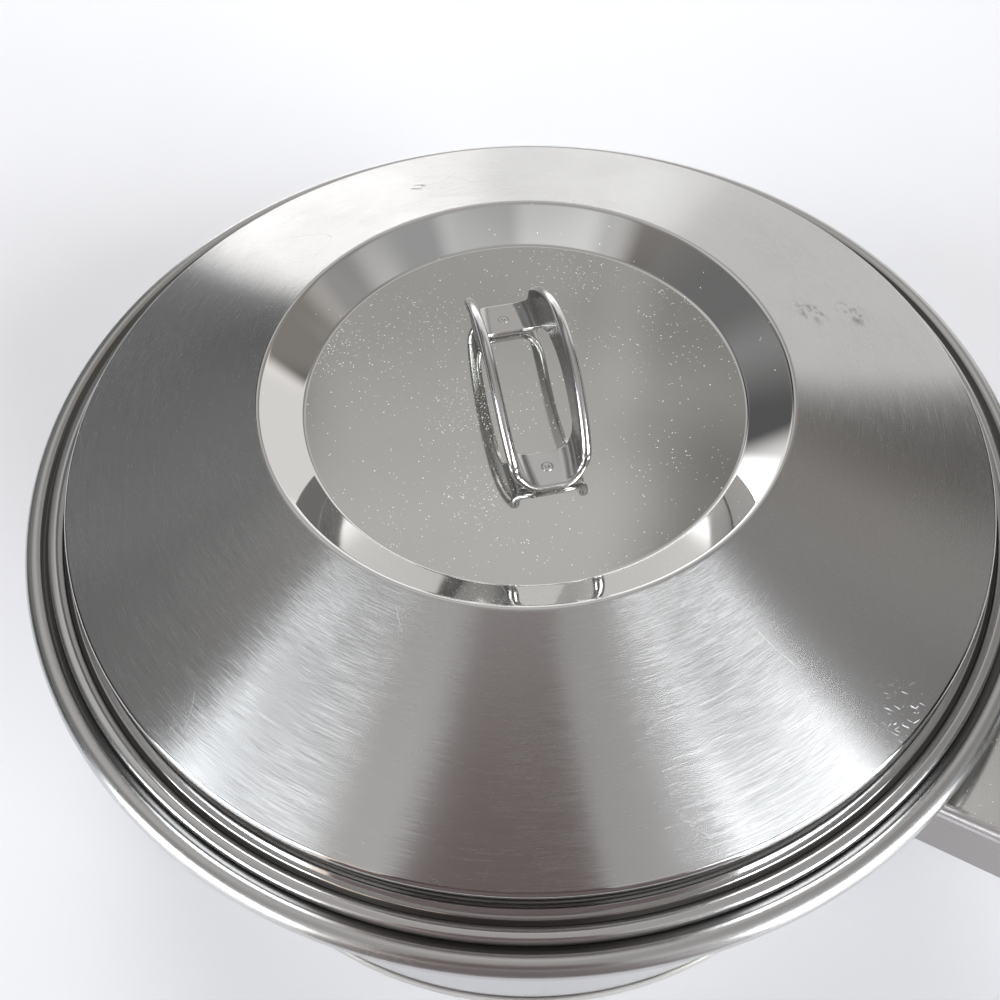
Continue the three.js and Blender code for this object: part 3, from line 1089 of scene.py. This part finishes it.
    def stud_outline(self) -> Array:
        """Outline of a weld mark: a shallow ring round a flat dot, on a shank inside the foot.

        Returns:
            Points of the outline.
        """
        r = np.array([0.0, 1.45, 1.45, 1.36, 1.25, 1.12, 0.98, 0.84, 0.70, 0.55, 0.40, 0.20, 0.0])
        z = np.array([0.2, 0.2, 1.60, 1.70, 1.74, 1.71, 1.60, 1.54, 1.58, 1.68, 1.73, 1.75, 1.75])
        return np.column_stack([r, z])

    def build(self, polished: Steel, weld: Steel) -> None:
        """Makes and dresses the handle and its two weld studs.

        Args:
            polished: Finish of the handle.
            weld: Finish of the studs.
        """
        turn, origin = turn_z(self.turn), (0.0, 0.0, self.height)
        handle = make_piece("lid_handle_frame", [self.frame_patch()], [polished.material()], turn, origin)
        dress(handle, Body.LID, "lid_handle")
        mark = weld.material()
        for number, end in ((1, 1.0), (2, -1.0)):
            place = turn @ np.array([end * self.stud_spacing / 2.0, 0.0, 0.0]) + np.array(origin)
            skin = [revolve(self.stud_outline())]
            stud = make_piece(f"lid_handle_weld_{number}", skin, [mark], origin=place)
            dress(stud, Body.LID, f"lid_handle_stud_{number}")


@dataclass
class LongHandle:
    """The long handle: a pressed channel with a sunk top, closed below by a plate.

    X runs along the handle from the pot's wall, Y across it, and Z = 0 is the top of its lips.
    """

    pot_radius: float = 119.8
    wall_gap: float = 0.05
    root_height: float = 95.1
    root_zone: float = 12.0
    rise: float = 14.0
    length: float = 191.2
    root_width: float = 40.2
    grip_width: float = 24.0
    taper: float = 98.2
    taper_blend: float = 8.0
    depth: float = 17.5
    sheet: float = 1.5
    edge_radius: float = 2.2
    lip: float = 2.6
    recess: float = 0.8
    recess_slope: float = 0.3
    recess_bend: float = 0.45
    top_start: float = 2.0
    plate_inset: float = 1.8
    plate_bottom: float = -17.0
    plate_top: float = -15.8
    slot_length: float = 24.0
    slot_width: float = 10.0
    slot_margin: float = 8.0

    @property
    def nose_x(self) -> float:
        """Place along the handle of the round nose's centre."""
        return self.length - self.grip_width / 2.0

    @property
    def slot_in(self) -> float:
        """Place along the handle of the centre of the slot's round inner end."""
        return self.length - self.slot_margin - self.slot_length + self.slot_width / 2.0

    def half_width(self, x: Array) -> Array:
        """Half width along the handle: a straight taper that eases into the parallel grip.

        The taper's slope times a soft ramp, b ln(1 + exp((taper - x) / b)), is added to half the grip.

        Args:
            x: Places along the handle.

        Returns:
            Half widths.
        """
        slope = (self.root_width - self.grip_width) / 2.0 / self.taper
        ramp = self.taper_blend * np.logaddexp(0.0, (self.taper - x) / self.taper_blend)
        return self.grip_width / 2.0 + slope * ramp

    def root(self, inset: Array, z: Array) -> Array:
        """Place along the handle where a line at an inset and height meets the pot's round wall.

        Solves X squared + y squared = wall radius squared, with X = radius + x cos(rise) - z sin(rise), by
        repeating x from the half width at the last x.

        Args:
            inset: Distance inwards from the handle's side.
            z: Height.

        Returns:
            Places along the handle.
        """
        lean = np.radians(self.rise)
        wall = self.pot_radius + self.wall_gap
        x = 0.0 * inset
        for _ in range(5):
            y = np.maximum(self.half_width(x) - inset, 0.0)
            x = (np.sqrt(wall**2 - y**2) - self.pot_radius + z * np.sin(lean)) / np.cos(lean)
        return x

    def loop(self, inset: Array, z: Array) -> Array:
        """U-shaped lines round the handle, from the pot's wall round the nose and back.

        The columns crowd towards the hanging slot's inner end, so that lines across the top can meet it.

        Args:
            inset: Distances inwards from the side.
            z: Heights.

        Returns:
            Points as a (lines, columns, 3) array.
        """
        half, clear = self.slot_width / 2.0, 0.2
        first = np.linspace(0.0, 1.0, 10)[:-1]
        rest = np.concatenate([
            np.linspace(self.root_zone, self.slot_in - half - clear, 34),
            self.slot_in - half * np.cos(np.linspace(0.0, np.pi / 2, 9)),
            np.linspace(self.slot_in, self.nose_x, 7)[1:],
        ])
        root = self.root(inset, z)[:, None]
        start = root + (self.root_zone - root) * first
        x = np.concatenate([start, np.broadcast_to(rest, (len(z), len(rest)))], axis=1)
        y = self.half_width(x) - inset[:, None]
        angle = np.linspace(np.pi / 2, -np.pi / 2, 33)[1:-1]
        reach = (self.grip_width / 2.0 - inset)[:, None]
        x = np.concatenate([x, self.nose_x + reach * np.cos(angle), x[:, ::-1]], axis=1)
        y = np.concatenate([y, reach * np.sin(angle), -y[:, ::-1]], axis=1)
        return np.stack([x, y, np.broadcast_to(z[:, None], x.shape)], axis=-1)

    def spine(self, edge: Array) -> tuple[Array, Array]:
        """Inner ends of lines that cross the top: the middle line, and then the hanging slot's edge.

        Args:
            edge: One line round the handle, as a (columns, 3) array.

        Returns:
            Points, and which columns end on the slot.
        """
        half, hair = self.slot_width / 2.0, 1e-6
        in_x, out_x = self.slot_in, self.length - self.slot_margin - half
        x, y = edge[:, 0], edge[:, 1]
        angle = np.arctan2(y, np.maximum(x - self.nose_x, 0.0))
        on_nose = x > self.nose_x + hair
        width = np.sqrt(np.maximum(half**2 - np.clip(in_x - x, 0.0, half) ** 2, 0.0))
        slot_x = np.where(on_nose, out_x + half * np.cos(angle), np.minimum(x, out_x))
        slot_y = np.where(on_nose, half * np.sin(angle), np.sign(y) * width)
        flat = np.stack([slot_x, slot_y, edge[:, 2]], axis=-1)
        start = x.min()
        middle = self.root(np.full(1, self.root_width), edge[:1, 2])[0]
        pull = np.clip((self.root_zone - x) / (self.root_zone - start), 0.0, 1.0)
        flat[:, 0] += np.where(x < self.root_zone, pull * (middle - start), 0.0)
        return flat, x >= in_x - half - hair

    def crossed(self, lines: Array) -> tuple[Array, Array]:
        """Lines round the handle, carried on from the last of them across to the spine.

        Args:
            lines: Lines as a (lines, columns, 3) array.

        Returns:
            The lines with those that cross, and which columns end on the slot.
        """
        ends, on_slot = self.spine(lines[-1])
        share = np.linspace(0.0, 1.0, 8)[1:, None, None]
        return np.concatenate([lines, lines[-1] + (ends - lines[-1]) * share]), on_slot

    def closing_strips(self, first: Array, second: Array, on_slot: Array) -> list[Patch]:
        """Strips between two skins: along their edge, round the slot and at both ends by the wall.

        Args:
            first: Lines of one skin.
            second: Lines of the other skin.
            on_slot: Which columns end on the slot.

        Returns:
            The strips.
        """
        slot = (on_slot[1:] & on_slot[:-1])[None, :]
        return [
            grid(np.stack([first[0], second[0]])),
            grid(np.stack([first[-1], second[-1]]), keep=slot),
            grid(np.stack([first[:, 0], second[:, 0]])),
            grid(np.stack([first[:, -1], second[:, -1]])),
        ]

    def shell_patches(self) -> list[Patch]:
        """Skin of the channel: outside, inside, and the strips that close it.

        The outside climbs the wall, rounds over the lip, drops into the sunk top and crosses it to the
        middle line or the slot. The inside follows it, held at the sheet's thickness.

        Returns:
            The patches.
        """
        section = rounded_path([
            (0.0, -self.depth, 0.0),
            (0.0, 0.0, self.edge_radius),
            (self.lip - self.recess_slope, 0.0, self.recess_bend),
            (self.lip + self.recess_slope, -self.recess, self.recess_bend),
            (self.lip + self.top_start, -self.recess, 0.0),
        ])
        inset, z = section[:, 0], section[:, 1]
        outside, on_slot = self.crossed(self.loop(inset, z))
        inner_z = np.minimum(z, -self.recess - self.sheet)
        inside, _ = self.crossed(self.loop(np.maximum(inset, self.sheet), inner_z))
        hair = 0.01
        wall = z[:-1] < -self.edge_radius - hair
        lip = inset[:-1] < self.edge_radius - hair
        top = np.zeros(len(outside) - len(section), dtype=int)
        slots = np.concatenate([np.where(wall, 1, 2 * lip), top])
        return [grid(outside, slots), grid(inside), *self.closing_strips(outside, inside, on_slot)]

    def plate_patches(self) -> list[Patch]:
        """Skin of the plate that closes the channel from below: two flat faces and their edges.

        Returns:
            The patches.
        """
        heights = np.array([self.plate_bottom, self.plate_top])
        low, high = self.loop(np.full(2, self.plate_inset), heights)
        lower, on_slot = self.crossed(low[None])
        upper, _ = self.crossed(high[None])
        return [grid(lower), grid(upper), *self.closing_strips(lower, upper, on_slot)]

    def build(self, channel: Sequence[Steel], satin: Steel, plain: Steel) -> None:
        """Makes and dresses the channel and the plate, and finishes the hidden bracket.

        Args:
            channel: Finishes of the channel's top, sides and lips; the sides' dark tint is painted shade.
            satin: Finish of the plate.
            plain: Finish of the bracket.
        """
        turn, origin = tilt_up(self.rise), (self.pot_radius, 0.0, self.root_height)
        finishes = [finish.material() for finish in channel]
        shell = make_piece("handle_channel", self.shell_patches(), finishes, turn, origin)
        dress(shell, Body.POT, "handle_shell")
        plate = make_piece("handle_closing_plate", self.plate_patches(), [satin.material()], turn, origin)
        dress(plate, Body.POT, "handle_underplate")
        refinish("handle_bracket", plain)


@dataclass(frozen=True)
class Panel:
    """A soft-edged panel of light in the studio's surroundings.

    Attributes:
        start: Azimuth at which it starts, in degrees from the camera's right towards the far side.
        end: Azimuth at which it ends.
        low: Elevation of its lower edge, in degrees.
        high: Elevation of its upper edge; 90 has none.
        soft: Width of its faded edges, in degrees.
        strength: Light that it adds.
        warmth: Share by which its red exceeds and its blue falls short of its green.
    """

    start: float
    end: float
    low: float
    high: float
    soft: float
    strength: float
    warmth: float = 0.0

    def share(self, shade: Shade, spoke: Socket, level: Socket, heading: float) -> Socket:
        """How much of the panel shows in a direction.

        It is an eased step in the cosine of the angle between the panel's azimuth and the direction's, times
        eased steps in the direction's height above its lower and below its upper edge.

        Args:
            shade: Node builder.
            spoke: The direction's level part, of unit length.
            level: Sine of the direction's elevation.
            heading: Turn of the camera about the upright axis, in degrees.

        Returns:
            A share from 0 to 1.
        """
        edge = np.array([-0.5, 0.5]) * self.soft
        shown = shade.fit(level, *np.sin(np.radians(self.low + edge)).tolist())
        if self.high < 90.0:
            top = np.sin(np.radians(self.high + edge)).tolist()
            shown = shade.times(shown, shade.fit(level, *top, 1.0, 0.0))
        if self.end - self.start < 360.0:
            axis = turn_z(heading + (self.start + self.end) / 2.0)[:, 0]
            across = shade.vector("DOT_PRODUCT", spoke, tuple(axis), "Value")
            wide = np.cos(np.radians((self.end - self.start) / 2.0 - edge)).tolist()
            shown = shade.times(shown, shade.fit(across, *wide))
        return shown

    def light(self) -> Triple:
        """Colour of the light that it adds."""
        return (self.strength * (1.0 + self.warmth), self.strength, self.strength * (1.0 - self.warmth))


@dataclass
class Studio:
    """Pale floor, soft surroundings, a lamp, two dark cards and the camera."""

    lens: float = 34.2
    sensor: float = 36.0
    eye: Triple = (96.2, -123.5, 305.4)
    heading: float = 40.5
    elevation: float = 55.23
    roll: float = -2.27
    floor_reach: float = 2500.0
    base_light: Triple = (0.02, 0.02, 0.02)
    backdrop: Triple = (0.90, 0.90, 0.92)

    def floor(self) -> None:
        """Lays a broad pale floor under the pot."""
        reach = np.linspace(-self.floor_reach, self.floor_reach, 3)
        x, y = np.meshgrid(reach, reach)
        matt = {"Roughness": 0.55, "Specular IOR Level": 0.3}
        tones = ((0.68, 0.68, 0.705), (0.72, 0.72, 0.74))
        cover = mottled("pale_floor", matt, scale=6.0, detail=3.0, tones=tones)
        floor = make_piece("floor", [grid(np.stack([x, y, 0.0 * x], axis=-1))], [cover])

    def axes(self) -> tuple[Array, Array, Array]:
        """The camera's axes: tipped down, rolled about the view and turned about the upright.

        Returns:
            Its right, up and backward directions in the part's frame.
        """
        tip, spin = np.radians(self.elevation), np.radians(self.roll)
        right = np.array([1.0, 0.0, 0.0])
        down = np.array([0.0, -np.sin(tip), -np.cos(tip)])
        ahead = np.array([0.0, np.cos(tip), -np.sin(tip)])
        across = np.cos(spin) * right - np.sin(spin) * down
        below = np.sin(spin) * right + np.cos(spin) * down
        turn = turn_z(self.heading)
        return turn @ across, turn @ -below, turn @ -ahead

    def camera(self) -> None:
        """Sets the camera at the viewing angle."""
        data = bpy.data.cameras.new("camera")
        data.lens = self.lens
        data.sensor_width = self.sensor
        data.clip_start = 10.0 * MM
        viewer = bpy.data.objects.new("camera", data)
        place = np.eye(4)
        place[:3, :3] = np.column_stack(self.axes())
        place[:3, 3] = np.array(self.eye) * MM
        viewer.matrix_world = Matrix(place.tolist())
        bpy.context.scene.collection.objects.link(viewer)
        bpy.context.scene.camera = viewer

    def panels(self) -> list[Panel]:
        """Panels of the surroundings: low ones on the far side and the camera's, raised ones, and overhead.

        Returns:
            The panels.
        """
        far_side = [
            Panel(38.0, 72.0, -20.0, 33.0, 5.0, 0.88, 0.02),
            Panel(72.0, 117.0, -20.0, 33.0, 8.0, 1.00, 0.01),
            Panel(72.0, 118.5, -20.0, 6.0, 6.0, 1.40, 0.01),
            Panel(92.0, 118.5, -20.0, 6.0, 6.0, 1.55, 0.02),
            Panel(117.0, 162.0, -20.0, 33.0, 8.0, 0.10),
            Panel(0.0, 20.0, -20.0, 33.0, 8.0, 0.18),
        ]
        camera_side = [
            Panel(229.0, 252.0, -20.0, 42.0, 4.0, 1.05, 0.16),
            Panel(284.0, 298.0, -20.0, 42.0, 4.0, 0.38, 0.20),
            Panel(298.5, 337.0, 6.0, 36.0, 2.0, 9.20, -0.03),
            Panel(298.5, 311.0, 6.0, 36.0, 2.0, 5.00, -0.03),
            Panel(196.5, 228.5, 6.0, 36.0, 2.0, 8.00, -0.04),
        ]
        raised = [
            Panel(-23.0, 12.0, 33.0, 50.0, 14.0, 0.36, 0.02),
            Panel(10.0, 40.0, 23.0, 50.0, 10.0, 0.24, 0.08),
            Panel(40.0, 80.0, 33.0, 49.5, 6.0, 0.31, 0.03),
            Panel(80.0, 107.0, 33.0, 50.0, 10.0, 0.46, 0.03),
            Panel(124.0, 197.0, 23.0, 50.0, 14.0, 0.18),
        ]
        overhead = [
            Panel(-10.0, 75.0, 50.0, 66.0, 12.0, 0.28, 0.02),
            Panel(75.0, 150.0, 50.0, 66.0, 12.0, 0.66, 0.02),
            Panel(150.0, 212.0, 50.0, 66.0, 14.0, 0.25, 0.06),
            Panel(211.0, 312.0, 46.0, 66.0, 16.0, 0.62),
            Panel(226.0, 270.0, 50.0, 66.0, 14.0, 0.24),
            Panel(312.0, 350.0, 42.0, 66.0, 16.0, 0.40),
            Panel(0.0, 360.0, 66.0, 90.0, 10.0, 0.43, 0.03),
        ]
        return far_side + camera_side + raised + overhead

    def surroundings(self) -> None:
        """Surrounds the scene with soft panels of light, and shows the camera a plain backdrop."""
        world = bpy.data.worlds.new("soft_studio")
        world.use_nodes = True
        shade = Shade(world.node_tree)
        towards = shade.node("TexCoord").outputs["Generated"]
        level = shade.node("SeparateXYZ", {0: towards}).outputs["Z"]
        spoke = shade.vector("NORMALIZE", shade.vector("MULTIPLY", towards, (1.0, 1.0, 0.0)))
        light: object = self.base_light
        for panel in self.panels():
            added = shade.vector("SCALE", panel.light(), panel.share(shade, spoke, level, self.heading))
            light = shade.vector("ADD", light, added)
        seen = shade.node("LightPath").outputs["Is Camera Ray"]
        back = shade.node("Background", {"Color": shade.blend(seen, light, self.backdrop), "Strength": 1.0})
        shade.feed(shade.node("OutputWorld").inputs["Surface"], back.outputs[0])
        bpy.context.scene.world = world

    def lamp(self, name: str, at: Sequence[float], size: float, power: float) -> None:
        """Hangs a broad lamp that lights the floor and stays out of the steel's reflections.

        Args:
            name: Name of the lamp.
            at: Place as seen from the camera's side: right, away and up, in millimetres.
            size: Width of the square lamp in millimetres.
            power: Power in watts.
        """
        data = bpy.data.lights.new(name, "AREA")
        data.size = size * MM
        data.energy = power
        lamp = bpy.data.objects.new(name, data)
        lamp.location = turn_z(self.heading) @ np.array(at) * MM
        lamp.visible_camera = False
        lamp.visible_glossy = False
        bpy.context.scene.collection.objects.link(lamp)

    def card(self, name: str, low: Sequence[float], high: Sequence[float], tone: Triple) -> None:
        """Stands a matt card upright behind the camera, where only reflections show it.

        Args:
            name: Name of the card.
            low: Lower left corner as seen from the camera's side: right, away and up, in millimetres.
            high: Upper right corner.
            tone: Colour of the card.
        """
        x, z = np.meshgrid(np.linspace(low[0], high[0], 2), np.linspace(low[2], high[2], 2))
        points = np.stack([x, 0.0 * x + low[1], z], axis=-1)
        tones = (tuple(0.8 * c for c in tone), tone)
        cover = mottled(name, {"Roughness": 0.9}, scale=12.0, detail=2.0, tones=tones)
        card = make_piece(name, [grid(points)], [cover], turn_z(self.heading))
        card.visible_camera = False
        card.visible_diffuse = False
        card.visible_shadow = False

    def build(self) -> None:
        """Sets the whole studio up."""
        self.floor()
        self.camera()
        self.lamp("floor_lamp", at=(-120.0, 900.0, 1650.0), size=800.0, power=14.5)
        self.card("camera_card", (-68.0, -170.0, 160.0), (26.0, -170.0, 515.0), tone=(0.15, 0.10, 0.10))
        self.card("front_card", (-250.0, -380.0, 2.0), (230.0, -380.0, 330.0), tone=(0.22, 0.18, 0.18))
        self.surroundings()
        bpy.context.scene.view_settings.view_transform = "Standard"


STEEL_TINT: Triple = (0.60, 0.597, 0.593)


def lathed(name: str, tint: Triple, roughness: float, **more: object) -> Steel:
    """Steel brushed round the axis, with the rest of its finish by name."""
    return Steel(name, tint, roughness, Grain.ROUND, **more)


def pot_finishes() -> dict[str, Steel]:
    """Finishes of the pot's body and base, by the names that the pot's build takes.

    Returns:
        The finishes.
    """
    polish = {"relief": 1e-6, "streak": 0.06, "smudge": 0.04}
    satin = {"relief": 4e-6, "streak": 0.2}
    return {
        # Painted shade: the wall's tint is darker than the steel's to stand for the shadowed floor that the
        # wall reflects.
        "outside": lathed("wall_painted_shade_steel", (0.50, 0.50, 0.505), 0.12, anisotropy=0.3, scratch=0.15, **polish),
        "inside": lathed("inside_steel", STEEL_TINT, 0.28, anisotropy=0.7, smudge=0.06, scratch=0.3, **satin),
        "rim": lathed("rim_steel", STEEL_TINT, 0.24, anisotropy=0.5, scratch=0.05, **polish),
        # Painted shade: the flare's tint is darkened far below the steel's to stand for the shade and dark
        # reflections between the lid's flange and the roll.
        "flare": lathed("flare_painted_shade_steel", (0.21, 0.206, 0.202), 0.14, anisotropy=0.5, **polish),
        "base": lathed(
            "base_steel", (0.56, 0.545, 0.52), 0.34,
            anisotropy=0.6, relief=3e-6, streak=0.2, smudge=0.08, scratch=0.3, film=0.1,
        ),
        "core": lathed("core_aluminium", (0.80, 0.81, 0.82), 0.5, smudge=0.1, **satin),
    }


def lid_finishes() -> list[Steel]:
    """Finishes of the lid from its underside outwards, in the order that the lid's build takes.

    Returns:
        The finishes.
    """
    polish = {"relief": 1e-6, "streak": 0.06}
    dusty = (
        Mark(Wear.DUST, (-52.0, -17.0, 126.0), 16.0),
        Mark(Wear.DUST, (-6.0, -13.0, 126.0), 17.0),
        Mark(Wear.DUST, (10.0, -31.0, 126.0), 12.0),
    )
    rubbed = (
        Mark(Wear.STAIN, (-75.7, 45.7, 125.4), 3.0),
        Mark(Wear.STAIN, (43.6, 65.6, 128.9), 6.0),
        Mark(Wear.STAIN, (50.7, 76.7, 124.2), 6.0),
        Mark(Wear.NICKS, (111.5, -15.0, 116.8), 9.0),
    )
    return [
        lathed("lid_inside", STEEL_TINT, 0.3, anisotropy=0.6, relief=4e-6, streak=0.2, smudge=0.08),
        Steel(
            "disc_steel", (0.60, 0.60, 0.58), 0.05,
            smudge=0.04, dust=0.6, scratch=0.25, film=0.05, marks=dusty,
        ),
        Steel("dish_steel", (0.70, 0.695, 0.69), 0.02, smudge=0.01, dust=0.05, scratch=0.1),
        lathed(
            "cone_steel", (0.61, 0.609, 0.608), 0.235,
            anisotropy=0.98, relief=3e-6, streak=0.35, smudge=0.03, scratch=0.2, sway=0.05, marks=rubbed,
        ),
        lathed("step_steel", (0.62, 0.615, 0.61), 0.07, anisotropy=0.3, smudge=0.05, **polish),
        # Dirt and painted shade: the channel's tint is nearly black, for the dirt and the shade in the
        # crevice between step and flange.
        lathed("channel_dirt_and_shade_steel", (0.12, 0.115, 0.11), 0.30, anisotropy=0.4, smudge=0.05, **polish),
        lathed("flange_steel", (0.66, 0.657, 0.655), 0.20, anisotropy=0.5, smudge=0.04, **polish),
    ]


def main() -> None:
    """Builds the sub-assemblies in order."""
    logging.basicConfig(level=logging.INFO, format="%(name)s %(message)s")
    Studio().build()
    Pot().build(**pot_finishes())
    Lid().build(lid_finishes())
    LidHandle().build(
        polished=Steel("grip_steel", (0.66, 0.655, 0.65), 0.19, smudge=0.06, dust=0.05, scratch=0.08),
        weld=lathed("stud_steel", (0.62, 0.61, 0.60), 0.22, relief=1e-6, streak=0.1, smudge=0.06),
    )
    LongHandle().build(
        channel=[
            Steel("handle_steel", (0.60, 0.595, 0.58), 0.09, smudge=0.04, dust=0.4, scratch=0.2, film=0.04),
            # Painted shade: the sides' tint is darkened, a shaded copy of the handle's steel, to stand for
            # the darker reflection that they show.
            Steel("handle_side_painted_shade_steel", (0.43, 0.41, 0.40), 0.25, smudge=0.05, scratch=0.2),
            Steel("handle_lip_steel", (0.66, 0.65, 0.65), 0.28, smudge=0.05),
        ],
        satin=Steel(
            "underplate_steel", STEEL_TINT, 0.3, Grain.LONG,
            anisotropy=0.6, relief=3e-6, streak=0.2, smudge=0.1, scratch=0.3,
        ),
        plain=Steel("bracket_steel", (0.5, 0.5, 0.49), 0.4, smudge=0.15),
    )


if __name__ == "__main__":
    main()
